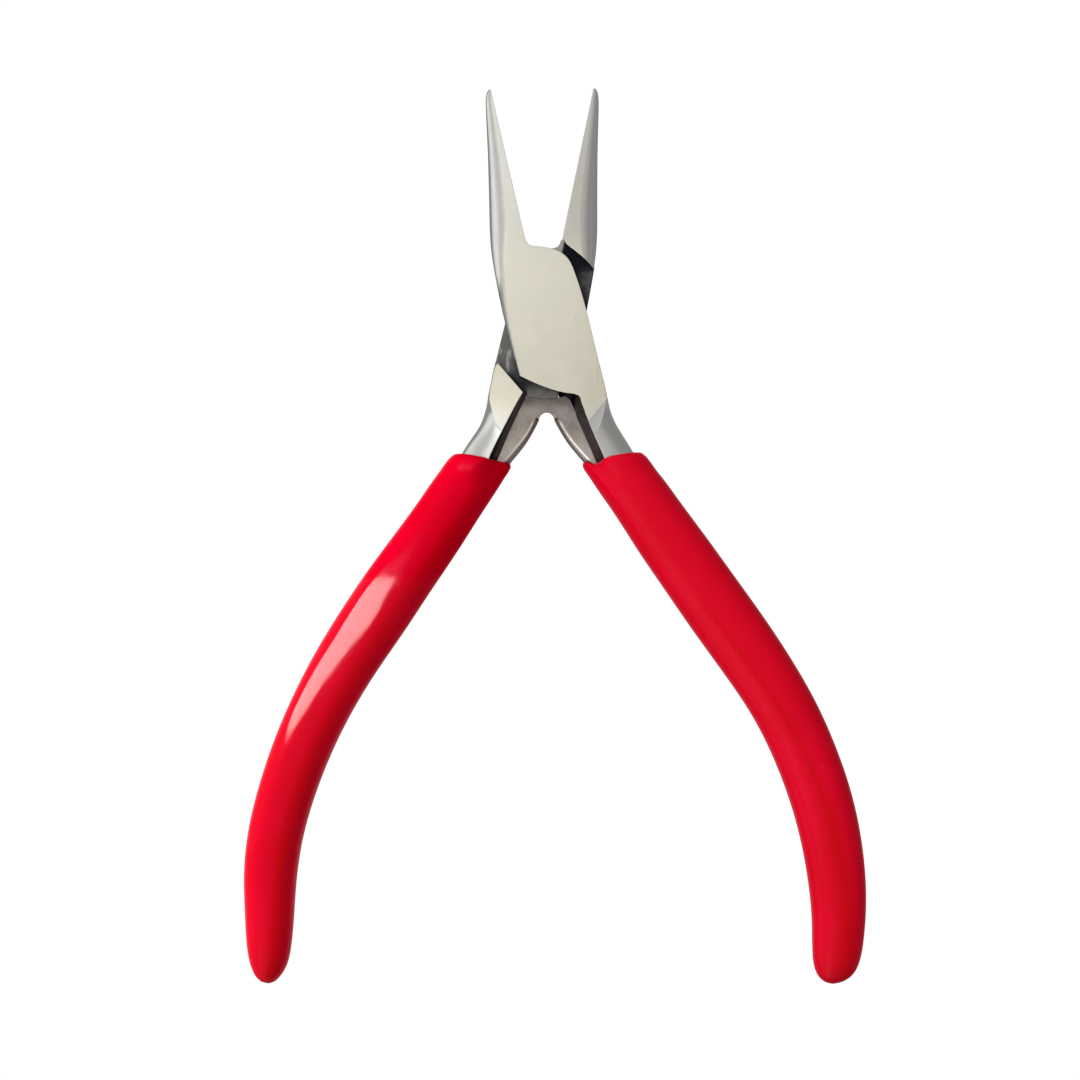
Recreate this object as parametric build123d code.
"""Box-joint chain-nose (needle nose) pliers, jeweller's size, with a V return spring and dipped grips.

Row frame, millimetres: the origin is on the pivot axis at the back face of the joint, +Z leaves the
front face, +Y runs towards the jaw tips, +X to the right. The parts are written in the free-state
pose, with the spring relaxed and each half swung HALF_OPEN away from closed.

Both halves are drawn closed, in one shared orientation: jaw at x < 0, handle at x > 0. The box half
uses it as drawn, the tongue half is its mirror image in x = 0. Heights z in the tables and helpers
are measured from the joint's middle plane.
"""
from build123d import *
import math
import os

os.makedirs("parts", exist_ok=True)

# ---------------------------------------------------------------- joint
JOINT_T = 7.6            # thickness over the two cheeks of the box
MID = JOINT_T / 2        # height of the middle plane over the back face
JOINT_HT = JOINT_T / 2   # half thickness of the joint
THROUGH = JOINT_HT + 1   # half height of a cutter that passes right through the joint
HALF_OPEN = 12.28        # swing of each half from closed to the free state, degrees
TONGUE_HT = 1.50         # half thickness of the tongue
SLOT_HT = 1.55           # half height of the slot through the box
PIN_R = 1.60             # rivet radius
PIN_RUN = 0.03           # radial running clearance of the rivet in the tongue
HUB_R = 5.15             # round middle of the tongue
HUB_GAP = 0.15           # clearance round the hub and at the slot's end walls
TAIL_R = 9.85            # round lower edge of the tongue, seen in the crotch

# ---------------------------------------------------------------- jaws
# jaw and left flank of the blank: y, reach from the centre line, half thickness, corner radius
JAW = [
    (-10.5, 4.80, 3.80, 0.30), (-6.0, 4.85, 3.80, 0.35), (-2.0, 4.98, 3.80, 0.45),
    (2.0, 5.06, 3.80, 0.62), (5.0, 5.04, 3.80, 0.92), (7.5, 4.96, 3.80, 1.32),
    (9.5, 4.86, 3.78, 1.72), (11.5, 4.67, 3.68, 2.10), (13.5, 4.36, 3.47, 2.36),
    (16.0, 3.86, 3.12, 2.30), (19.0, 3.24, 2.67, 2.02), (22.0, 2.63, 2.22, 1.70),
    (25.0, 2.06, 1.77, 1.38), (27.5, 1.62, 1.42, 1.12), (29.5, 1.26, 1.16, 0.92),
    (31.0, 0.93, 0.93, 0.72), (31.6, 0.70, 0.72, 0.53), (31.95, 0.47, 0.50, 0.35),
    (32.12, 0.30, 0.34, 0.21),
]
TIP_ROUNDS = (0.12, 0.08)   # rounding of the jaw's tip, and the fallback
BOX_BLANK_RIGHT = 9.0       # right side of the box half's blank before it is trimmed

# ---------------------------------------------------------------- outlines of the box half, x y
# top and right edge of the cheeks, and the corners closing the area trimmed off beyond it
CHEEK_TOP = [
    (0.05, 11.60), (0.14, 11.08), (0.40, 10.68), (1.07, 10.35), (2.10, 10.00), (3.10, 9.56),
    (3.88, 9.04), (4.49, 8.48), (4.90, 7.88), (5.22, 7.00), (5.44, 5.60), (5.62, 4.00),
    (5.76, 2.00), (5.83, 0.00), (5.86, -3.00), (5.90, -6.00), (5.97, -9.00),
]
BEYOND_CHEEK_TOP = [(5.97, -12.0), (14.0, -12.0), (14.0, 40.0), (0.0, 40.0), (0.0, 12.2)]
# lower edge of the cheeks, left to right, then down the handle's inner edge and round the waste
CHEEK_LOW = [
    (-4.90, -5.80), (-3.67, -6.80), (-2.39, -7.74), (-0.85, -8.73), (0.61, -9.46), (1.70, -9.86),
]
BELOW_CHEEK_LOW = [
    (2.30, -10.20), (2.44, -10.75), (2.56, -12.05), (2.56, -14.0), (-9.0, -14.0), (-9.0, -2.45),
]
# filling of the back corner of the crotch, and its heights
CROTCH_FILL = [
    (-0.60, -8.6), (2.42, -9.2), (2.50, -12.4), (1.15, -12.2), (0.35, -10.9), (-0.30, -10.3),
    (-0.22, -9.62), (-0.60, -9.20),
]
CROTCH_FILL_Z = (-3.3, -1.6)
# slot walls leave the hub's bore at this angle below and above the x axis
SLOT_ANGLE = 31
SLOT_RUN_X, SLOT_RUN_Y = 0.515, 0.857   # direction of those walls, tangent to the bore
SLOT_RUN = 4                            # length of the upper mouth's tangent wall
SLOT_LEFT = -14                         # left end of the lower mouth's cutter
SLOT_UPPER = [
    (0, 0), (-1.34, 3.0), (-1.34, 10.34), (-0.50, 10.78), (-0.30, 11.70), (0, 11.95), (0, 13),
    (9, 13), (9, 4.7),
]
SLOT_LOWER = [(0, 0), (2.96, -4.39), (3.95, -9.25), (4.1, -12), (SLOT_LEFT, -12)]

# ---------------------------------------------------------------- outlines of the tongue half, x y
# the jaw's shoulder, and the corners closing the area trimmed off the jaw
JAW_SHOULDER = [
    (0.00, 12.30), (-0.16, 11.66), (-0.55, 11.12), (-1.15, 10.74), (-2.40, 10.14),
    (-3.26, 9.68), (-4.02, 9.20), (-4.62, 8.72), (-5.15, 8.20), (-5.80, 7.40),
]
BELOW_JAW = [(-9.0, 7.0), (-9.0, -14.0), (1.0, -14.0), (1.0, 12.30)]
# the handle's shoulder, closed round the area trimmed off above it
ABOVE_HANDLE = [
    (5.90, -5.66), (5.16, -6.23), (3.07, -7.83), (0.97, -9.44),
    (-2.0, -9.44), (-2.0, 0.0), (8.0, 0.0), (8.0, -4.05),
]
TONGUE_UPPER = [
    (0, 0), (1.16, 3.0), (1.16, 10.10), (0.74, 10.24), (0.38, 10.50), (0.20, 10.86),
    (0.14, 11.40), (-0.15, 11.62), (-0.15, 12.9), (-3.2, 12.9), (-4.55, 11.0), (-4.98, 8.6),
    (-5.06, 6.0), (-5.12, 3.0), (-HUB_R, 0),
]
TONGUE_LOWER = [
    (0, 0), (-2.85, -4.29), (-3.80, -9.30), (-3.9, -12), (1.15, -12), (2.1, -11.0),
    (5.40, -9.9), (5.40, -7.5), (5.28, -4.0), (5.16, -1.0), (HUB_R, 0),
]
TONGUE_ROOT = [(1.0, -7.5), (5.42, -7.0), (5.42, -10.9), (1.8, -10.9)]

# ---------------------------------------------------------------- handles and grips
# handles: y, inner face edge, inner wall at the pocket, outer edge, crown height of the bar
BOX_HANDLE = [
    (-7.0, 2.40, 2.25, 5.92, 11.0), (-9.4, 2.40, 2.05, 5.98, 9.6),
    (-10.8, 2.46, 1.62, 6.01, 8.4), (-11.6, 2.52, 1.42, 6.00, 6.8),
    (-12.4, 2.62, 1.40, 5.99, 5.3), (-13.3, 2.73, 1.48, 6.02, 4.52),
    (-14.2, 2.88, 1.65, 6.15, 4.08), (-15.4, 3.09, 1.88, 6.44, 3.78),
    (-17.0, 3.40, 2.20, 7.00, 3.52), (-19.0, 3.78, 2.55, 7.68, 3.28),
]
TONGUE_HANDLE = [
    (-4.5, 0.90, 0.30, 5.22, 11.0), (-7.0, 0.90, 0.30, 5.34, 10.6),
    (-9.4, 0.98, 0.34, 5.44, 9.0), (-10.8, 1.44, 0.72, 5.43, 7.6),
    (-11.8, 1.74, 0.98, 5.37, 5.8), (-12.8, 2.03, 1.22, 5.38, 4.62),
    (-13.9, 2.34, 1.47, 5.49, 4.08), (-15.2, 2.71, 1.76, 5.80, 3.78),
    (-17.0, 3.20, 2.12, 6.55, 3.52), (-19.0, 3.65, 2.50, 7.30, 3.28),
]
# grips: y, inner edge, outer edge, half thickness
BOX_GRIP = [
    (-17.0, -0.25, 7.95, 4.22), (-19.5, 0.66, 9.00, 4.30), (-22.5, 1.66, 10.33, 4.36),
    (-26.0, 3.10, 11.90, 4.40), (-32.0, 5.40, 14.55, 4.46), (-38.0, 7.77, 17.08, 4.50),
    (-44.0, 10.15, 19.60, 4.52), (-50.0, 12.68, 21.88, 4.50), (-56.0, 15.05, 23.74, 4.45),
    (-62.0, 16.66, 25.03, 4.40), (-68.0, 17.56, 25.80, 4.32), (-74.0, 17.92, 25.93, 4.22),
    (-80.0, 17.67, 25.38, 4.08), (-85.0, 17.02, 24.42, 3.92), (-89.0, 16.18, 23.22, 3.66),
    (-91.3, 15.94, 22.28, 3.34), (-92.8, 16.32, 21.30, 2.66), (-93.6, 17.05, 20.30, 1.86),
    (-93.95, 17.80, 19.30, 0.95),
]
TONGUE_GRIP = [
    (-17.0, -0.30, 7.48, 4.22), (-19.5, 0.52, 8.55, 4.30), (-22.5, 1.52, 9.93, 4.36),
    (-26.0, 2.98, 11.48, 4.40), (-32.0, 5.30, 14.20, 4.46), (-38.0, 7.74, 16.94, 4.50),
    (-44.0, 10.12, 19.34, 4.52), (-50.0, 12.66, 21.38, 4.50), (-56.0, 14.76, 22.97, 4.42),
    (-62.0, 16.28, 24.14, 4.32), (-68.0, 17.26, 24.80, 4.20), (-74.0, 17.64, 24.94, 4.06),
    (-80.0, 17.20, 24.28, 3.88), (-84.5, 16.58, 23.24, 3.66), (-88.0, 16.24, 22.32, 3.36),
    (-90.4, 16.34, 21.48, 2.92), (-92.0, 16.92, 20.60, 2.20), (-92.8, 17.52, 19.86, 1.50),
    (-93.15, 18.10, 19.20, 0.80),
]
# the side on which each half's handle lies in the free state, as the sign of x
RIGHT, LEFT = 1, -1
ROWS = {RIGHT: (BOX_HANDLE, BOX_GRIP), LEFT: (TONGUE_HANDLE, TONGUE_GRIP)}

CROWN_POWER = 2.5        # superellipse exponent of the bar's crown
CROWN_STEPS = (0.0, 0.22, 0.42, 0.60, 0.75, 0.87, 0.955)   # shares of the bar's width
BAR_MIN_W = 1.2          # least width of the bar at its crown
GRIP_POWER = 2.45        # superellipse exponent of the grip's section
GRIP_POINTS = 20         # points round the grip's section
GRIP_WALL_OUT = 1.28     # dipped skin over the outer edge of the tang
GRIP_WALL_IN = 1.45      # skin over the inner edge, below the spring's tail
GRIP_WALL_Z = 1.22       # skin over the flat sides
RIM_TILT = 6.2           # lean of the rim of each grip, degrees
RIM_AT = (4.6, -19.45)   # the middle of the rim, closed
RIM_ROUNDS = (1.0, 0.8, 0.6, 0.4)   # rounding of the rim, largest first

# tang inside the grip: y, added skin inside, inner wall to face edge, trim outside, trim in z
TANG = [
    (-22.0, 0.45, 0.95, 0.0, 0.0),
    (-26.0, 0.10, 0.80, 0.0, 0.0),
    *[(y, 0.0, 0.80, 0.0, 0.0) for y in range(-32, -81, -6)],
    (-86.0, 0.0, 0.80, 0.3, 0.2),
    (-88.0, 0.0, 0.80, 0.3, 0.2),
]

POCKET_HT = 1.38         # half height of the spring pockets in the handles
POCKET_MIN_WALL = 0.5    # least x of the wall that a pocket's depth is measured from
# pocket: y, clearance inside the inner wall, depth into the bar
POCKET = [
    (-9.9, 1.4, 1.9), (-11.5, 1.4, 1.8), (-13.0, 1.4, 1.55), (-15.0, 1.4, 1.2),
    (-17.0, 1.4, 0.85), (-19.0, 1.4, 0.7), (-22.0, 1.0, 0.75), (-26.4, 1.0, 0.75),
]

# ---------------------------------------------------------------- return spring, free state
SPRING_T = 0.45          # sheet thickness
SPRING_HT = 1.30         # half height over the two webs
SPRING_X = 0.15          # x of the spring's axis
NOTCH_R = 1.02
NOTCH_Y = -12.72
SPRING_TOP_R = 9.98      # round top edge, about the pivot
SPRING_TOP_HALF_W = 2.55
RELIEF_R = 0.24          # hole at the upper end of each flange
RELIEF = (1.27, -12.66)  # its place: x off the spring's axis, y
# inner edge of a leg from the notch down to the grip: x off the spring's axis, y
SPRING_IN = [
    (NOTCH_R, NOTCH_Y), (1.24, -13.18), (1.62, -13.86), (2.52, -15.45), (3.74, -17.06),
    (4.95, -18.48),
]
SPRING_TAIL = [(2.30, -22.0), (3.72, -25.6)]   # its end in the grip, x y, closed
# outer edge of a leg, tail upwards, closed: y, depth past the handle's inner wall
SPRING_BITE = [
    (-25.9, 0.35), (-22.0, 0.40), (-19.0, 0.35), (-17.0, 0.38), (-15.0, 0.40), (-13.4, 0.42),
    (-12.4, 0.36),
]
# point between leg and round top: x off the spring's axis, y
SPRING_SHOULDER = {RIGHT: (3.52, -10.72), LEFT: (-3.42, -10.62)}


# ---------------------------------------------------------------- helpers
def one(shape):
    """The largest solid of a boolean result."""
    return max(shape.solids(), key=lambda solid: solid.volume)


def at(x, y, z):
    return Vector(x, y, MID + z)


def line(start, end):
    return Edge.make_line(at(*start), at(*end))


def arc(start, middle, end):
    return Edge.make_three_point_arc(at(*start), at(*middle), at(*end))


def spline(points, z):
    return Edge.make_spline([at(x, y, z) for x, y in points])


def prism(wire, height):
    return Solid.extrude(Face(wire), Vector(0, 0, height))


def plate(corners, z_low, z_high, curve=()):
    """A prism over a closed outline: a spline through curve, if given, then straight sides."""
    points = [at(x, y, z_low) for x, y in [*curve, *corners]]
    if curve:
        last = len(curve) - 1
        ends = points[last:] + points[:1]
        sides = [Edge.make_line(a, b) for a, b in zip(ends, ends[1:])]
        wire = Wire([Edge.make_spline(points[:last + 1])] + sides)
    else:
        wire = Wire.make_polygon(points, close=True)
    return prism(wire, z_high - z_low)


def disc(radius, half_height, x=0.0, y=0.0):
    plane = Plane(at(x, y, -half_height), z_dir=Vector(0, 0, 1))
    return Solid.make_cylinder(radius, 2 * half_height, plane)


def interpolate(rows, y, column):
    """A column of a table at height y, which has to lie within the table."""
    for above, below in zip(rows, rows[1:]):
        if above[0] >= y >= below[0]:
            share = (above[0] - y) / (above[0] - below[0])
            return above[column] + (below[column] - above[column]) * share


def inner_wall(side, y):
    """x of the inner wall of a handle or, beyond the handle's rows, of its tang."""
    handle, grip_rows = ROWS[side]
    if y < handle[-1][0]:
        return interpolate(grip_rows, y, 1) + GRIP_WALL_IN
    return interpolate(handle, y, 2)


def round_edges(body, face, radii):
    """Round the edges of a face with the first radius the kernel manages."""
    for radius in radii:
        # a fillet can fail on lofted faces; the next radius is tried, or the edge stays sharp
        try:
            rounded = body.fillet(radius, face.edges())
            if rounded.is_valid and rounded.volume > 0.9 * body.volume:
                return rounded
        except Exception:
            continue
    return body


def place(shape, side):
    """From the closed, shared orientation to the free-state pose."""
    if side == LEFT:
        shape = shape.mirror(Plane.YZ)
    return shape.rotate(Axis.Z, side * HALF_OPEN)


def place_point(x, y, side):
    """The same move as place, for a point."""
    c, s = math.cos(math.radians(HALF_OPEN)), math.sin(math.radians(HALF_OPEN))
    return (side * (x * c - y * s), x * s + y * c)


# ---------------------------------------------------------------- jaw
def jaw_section(y, reach, half, radius, right):
    """Section from x = right to the left flank, whose two corners are rounded."""
    inset = radius * (1 - math.sqrt(0.5))
    flat_x, flat_z = -(reach - radius), half - radius
    mid_x, mid_z = -(reach - inset), half - inset
    return Wire([
        line((right, y, -half), (flat_x, y, -half)),
        arc((flat_x, y, -half), (mid_x, y, -mid_z), (-reach, y, -flat_z)),
        line((-reach, y, -flat_z), (-reach, y, flat_z)),
        arc((-reach, y, flat_z), (mid_x, y, mid_z), (flat_x, y, half)),
        line((flat_x, y, half), (right, y, half)),
        line((right, y, half), (right, y, -half)),
    ])


def jaw_blank(right):
    return Solid.make_loft([jaw_section(*row, right) for row in JAW])


def round_tip(body):
    return round_edges(body, body.faces().sort_by(Axis.Y)[-1], TIP_ROUNDS)


# ---------------------------------------------------------------- handle
def bar_section(y, x_in, x_wall, x_out, crown):
    """Handle bar: crowned over the outer side, drafted wall on the inner side."""
    x_top = x_in
    if crown > JOINT_HT:
        x_top += (x_in - x_wall) / (JOINT_HT - POCKET_HT) * (crown - JOINT_HT)
    x_top = min(x_top, x_out - BAR_MIN_W)
    width = x_out - x_top
    front = [
        (x_top + width * u, crown * (1 - u ** CROWN_POWER) ** (1 / CROWN_POWER))
        for u in CROWN_STEPS
    ]
    back = [(x, -z) for x, z in reversed(front)]
    wall_z = min(POCKET_HT, crown * 0.6)
    return Wire([
        Edge.make_spline([at(x, y, z) for x, z in front + [(x_out, 0)] + back]),
        line((x_top, y, -crown), (x_wall, y, -wall_z)),
        line((x_wall, y, -wall_z), (x_wall, y, wall_z)),
        line((x_wall, y, wall_z), (x_top, y, crown)),
    ])


def handle_bar(side):
    """The visible root of the handle and the tang that runs on inside the grip."""
    handle, grip_rows = ROWS[side]
    sections = [bar_section(*row) for row in handle]
    for y, skin, draft, trim_out, trim_z in TANG:
        wall = inner_wall(side, y) + skin
        x_out = interpolate(grip_rows, y, 2) - GRIP_WALL_OUT - trim_out
        crown = interpolate(grip_rows, y, 3) - GRIP_WALL_Z - trim_z
        sections.append(bar_section(y, wall + draft, wall, x_out, crown))
    bar = Solid.make_loft(sections)
    # flatten the crown to the thickness of the joint
    slab = Solid.make_box(60, 110, JOINT_T, Plane(Vector(-10, -100, 0)))
    return bar & slab


def pocket(side):
    """Pocket in the inner wall of a handle for one leg of the spring."""
    inner, outer = [], []
    for y, clearance, depth in POCKET:
        wall = inner_wall(side, y)
        inner.append((wall - clearance, y))
        outer.append((max(wall, POCKET_MIN_WALL) + depth, y))
    return plate(outer + inner[::-1], -POCKET_HT, POCKET_HT)


# ---------------------------------------------------------------- box half
def slot_cutters():
    """Slot for the tongue: hub, upper mouth, lower mouth."""
    bore = HUB_R + HUB_GAP
    x = bore * math.cos(math.radians(SLOT_ANGLE))
    y = bore * math.sin(math.radians(SLOT_ANGLE))
    upper_end = [(x + SLOT_RUN_X * SLOT_RUN, -y + SLOT_RUN_Y * SLOT_RUN), (x, -y)]
    lower_end = [(SLOT_LEFT, y - SLOT_RUN_Y / SLOT_RUN_X * (-SLOT_LEFT - x)), (-x, y)]
    upper = plate(SLOT_UPPER + upper_end, -SLOT_HT, SLOT_HT)
    lower = plate(SLOT_LOWER + lower_end, -SLOT_HT, SLOT_HT) & disc(TAIL_R + HUB_GAP, SLOT_HT)
    return disc(bore, SLOT_HT), upper, lower


def box_half():
    blank = jaw_blank(BOX_BLANK_RIGHT)
    blank = one(blank - plate(BEYOND_CHEEK_TOP, -THROUGH, THROUGH, curve=CHEEK_TOP))
    blank = round_tip(blank)
    blank = one(blank - plate(BELOW_CHEEK_LOW, -THROUGH, THROUGH, curve=CHEEK_LOW))
    blank = one(blank + handle_bar(RIGHT) + plate(CROTCH_FILL, *CROTCH_FILL_Z))
    for cutter in (*slot_cutters(), pocket(RIGHT), disc(PIN_R, THROUGH)):
        blank = one(blank - cutter)
    return place(blank, RIGHT)


# ---------------------------------------------------------------- tongue half
def tongue_half():
    jaw = round_tip(jaw_blank(0.0))
    jaw = one(jaw - plate(BELOW_JAW, -THROUGH, THROUGH, curve=JAW_SHOULDER))
    # full thickness only below the handle's shoulder
    bar = one(handle_bar(LEFT) - plate(ABOVE_HANDLE, -THROUGH, THROUGH))
    hub = disc(HUB_R, TONGUE_HT)
    upper = plate(TONGUE_UPPER, -TONGUE_HT, TONGUE_HT)
    # the lower edge is round, but whole where it runs into the handle
    lower = plate(TONGUE_LOWER, -TONGUE_HT, TONGUE_HT) & disc(TAIL_R, TONGUE_HT)
    root = plate(TONGUE_ROOT, -TONGUE_HT, TONGUE_HT)
    body = one(jaw + hub + upper + lower + root + bar)
    # the pocket stops at the tongue's round edge
    body = one(body - (pocket(LEFT) - disc(TAIL_R, POCKET_HT + 1)))
    body = one(body - disc(PIN_R + PIN_RUN, THROUGH))
    return place(body, LEFT)


# ---------------------------------------------------------------- return spring
def leg_edges(side):
    """One leg of the spring: points of its inner edge downwards, of its outer edge upwards."""
    inner = [(SPRING_X + side * x, y) for x, y in SPRING_IN]
    inner += [place_point(x, y, side) for x, y in SPRING_TAIL]
    outer = [place_point(inner_wall(side, y) + bite, y, side) for y, bite in SPRING_BITE]
    return inner, outer


def spring_web(z_low):
    """One flat sheet of the spring, both legs and the head."""
    inner_right, outer_right = leg_edges(RIGHT)
    inner_left, outer_left = leg_edges(LEFT)
    top_right, top_left = [
        (x, -math.sqrt(SPRING_TOP_R ** 2 - x ** 2))
        for x in (SPRING_X + SPRING_TOP_HALF_W, SPRING_X - SPRING_TOP_HALF_W)
    ]
    shoulder_right, shoulder_left = [
        (SPRING_X + x, y) for x, y in (SPRING_SHOULDER[RIGHT], SPRING_SHOULDER[LEFT])
    ]
    edges = [
        arc((SPRING_X - NOTCH_R, NOTCH_Y, z_low), (SPRING_X, NOTCH_Y + NOTCH_R, z_low),
            (SPRING_X + NOTCH_R, NOTCH_Y, z_low)),
        spline(inner_right, z_low),
        line((*inner_right[-1], z_low), (*outer_right[0], z_low)),
        spline(outer_right, z_low),
        spline([outer_right[-1], shoulder_right, top_right], z_low),
        arc((*top_right, z_low), (0, -SPRING_TOP_R, z_low), (*top_left, z_low)),
        spline([top_left, shoulder_left, outer_left[-1]], z_low),
        spline(outer_left[::-1], z_low),
        line((*outer_left[0], z_low), (*inner_left[-1], z_low)),
        spline(inner_left[::-1], z_low),
    ]
    return prism(Wire(edges), SPRING_T)


def spring_flange(side):
    """A strip of sheet thickness along a leg's inner edge, tapering to nothing at the notch."""
    edge = leg_edges(side)[0]
    points = edge[1:]
    before = points[:1] + points[:-1]
    after = points[1:] + points[-1:]
    offset = []
    for (x, y), (x0, y0), (x1, y1) in zip(points, before, after):
        reach = side * SPRING_T / math.hypot(x1 - x0, y1 - y0)
        offset.append((x - (y1 - y0) * reach, y + (x1 - x0) * reach))
    z_low = -SPRING_HT
    wire = Wire([
        spline(edge, z_low),
        line((*edge[-1], z_low), (*offset[-1], z_low)),
        spline(offset[::-1], z_low),
        line((*offset[0], z_low), (*edge[0], z_low)),
    ])
    return prism(wire, 2 * SPRING_HT)


def return_spring():
    body = spring_web(SPRING_HT - SPRING_T) + spring_web(-SPRING_HT)
    body = one(body + spring_flange(RIGHT) + spring_flange(LEFT))
    for side in (RIGHT, LEFT):
        body = one(body - disc(RELIEF_R, 3, SPRING_X + side * RELIEF[0], RELIEF[1]))
    return body


# ---------------------------------------------------------------- grips
def grip_section(y, x_in, x_out, half):
    """Superellipse across the grip."""
    def power(value):
        return math.copysign(abs(value) ** (2 / GRIP_POWER), value)

    middle, reach = (x_in + x_out) / 2, (x_out - x_in) / 2
    angles = [2 * math.pi * i / GRIP_POINTS for i in range(GRIP_POINTS)]
    points = [
        at(middle + reach * power(math.cos(a)), y, half * power(math.sin(a))) for a in angles
    ]
    return Wire([Edge.make_spline(points, periodic=True)])


def grip(side, spring):
    """A grip, moulded round its tang and round the tail of the spring."""
    body = Solid.make_loft([grip_section(*row) for row in ROWS[side][1]])
    # cut the upper end off along the leaning rim
    cutter = Solid.make_box(60, 30, 40).translate(Vector(-30, 0, -20))
    cutter = cutter.rotate(Axis.Z, -RIM_TILT).translate(Vector(*RIM_AT, MID))
    body = one(body - cutter)
    rim = body.faces().filter_by(GeomType.PLANE).sort_by(Axis.Y)[-1]
    body = place(round_edges(body, rim, RIM_ROUNDS), side)
    body = one(body - place(handle_bar(side), side))
    return one(body - spring)


spring = return_spring()
parts = {
    "box_half": box_half(),
    "tongue_half": tongue_half(),
    "pivot_rivet": disc(PIN_R, JOINT_HT),
    "return_spring": spring,
    "right_grip": grip(RIGHT, spring),
    "left_grip": grip(LEFT, spring),
}
for name, part in parts.items():
    export_step(part, f"parts/{name}.step")
